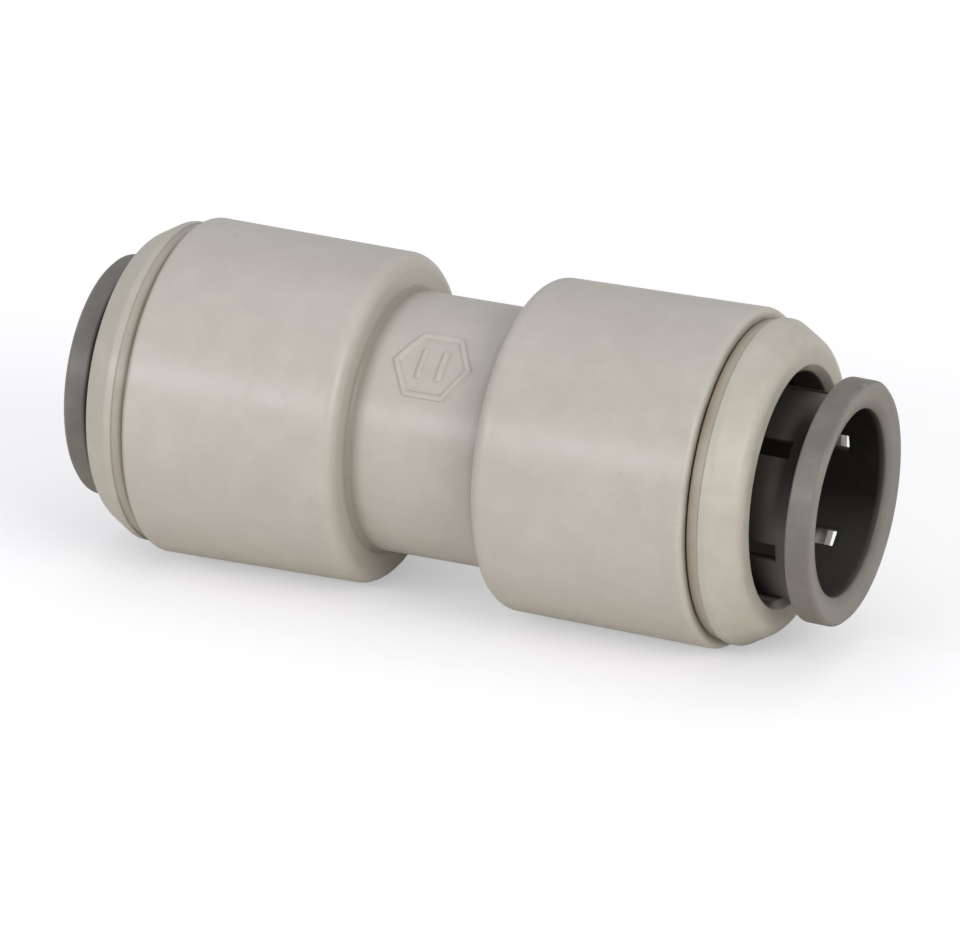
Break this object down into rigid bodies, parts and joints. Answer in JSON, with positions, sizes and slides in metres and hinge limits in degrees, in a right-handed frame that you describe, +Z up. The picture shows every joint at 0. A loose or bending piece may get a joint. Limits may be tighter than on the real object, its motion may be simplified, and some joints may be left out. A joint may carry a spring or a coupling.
{
  "type": "push-to-connect straight union",
  "caption": "Straight push-fit tube union: moulded body with two barrels and a waist, end caps, sliding release collets with flanges, internal seals and grip teeth.",
  "frame": {"origin": "on the tube axis, at the middle of the body, halfway between the two seams with the end caps", "axes": "+X along the tube axis towards the end whose collet stands out at rest, +Z up, +Y towards the back"},
  "size_m": [0.0654, 0.0276, 0.0276],
  "materials": {
    "body_plastic": "satin light warm grey acetal",
    "cap_plastic": "satin light warm grey acetal",
    "collet_plastic": "satin dark warm grey acetal",
    "spacer_plastic": "natural acetal",
    "seal_rubber": "nitrile rubber, lightly greased",
    "tooth_steel": "stainless spring strip"
  },
  "bodies": {
    "housing": {"body": "body_plastic", "left_end_cap": "cap_plastic", "right_end_cap": "cap_plastic", "left_o_ring": "seal_rubber", "right_o_ring": "seal_rubber", "left_spacer_ring": "spacer_plastic", "right_spacer_ring": "spacer_plastic"},
    "left_release_collet": {"left_collet": "collet_plastic", "left_tooth_1": "tooth_steel", "left_tooth_2": "tooth_steel", "left_tooth_3": "tooth_steel", "left_tooth_4": "tooth_steel", "left_tooth_5": "tooth_steel", "left_tooth_6": "tooth_steel"},
    "right_release_collet": {"right_collet": "collet_plastic", "right_tooth_1": "tooth_steel", "right_tooth_2": "tooth_steel", "right_tooth_3": "tooth_steel", "right_tooth_4": "tooth_steel", "right_tooth_5": "tooth_steel", "right_tooth_6": "tooth_steel"}
  },
  "joints": [
    {"name": "left_collet_slide", "type": "slide", "parent": "housing", "child": "left_release_collet", "axis": [-1, 0, 0], "range_m": [-0.00025, 0.00245]},
    {"name": "right_collet_slide", "type": "slide", "parent": "housing", "child": "right_release_collet", "axis": [1, 0, 0], "range_m": [-0.0027, 0]}
  ]
}
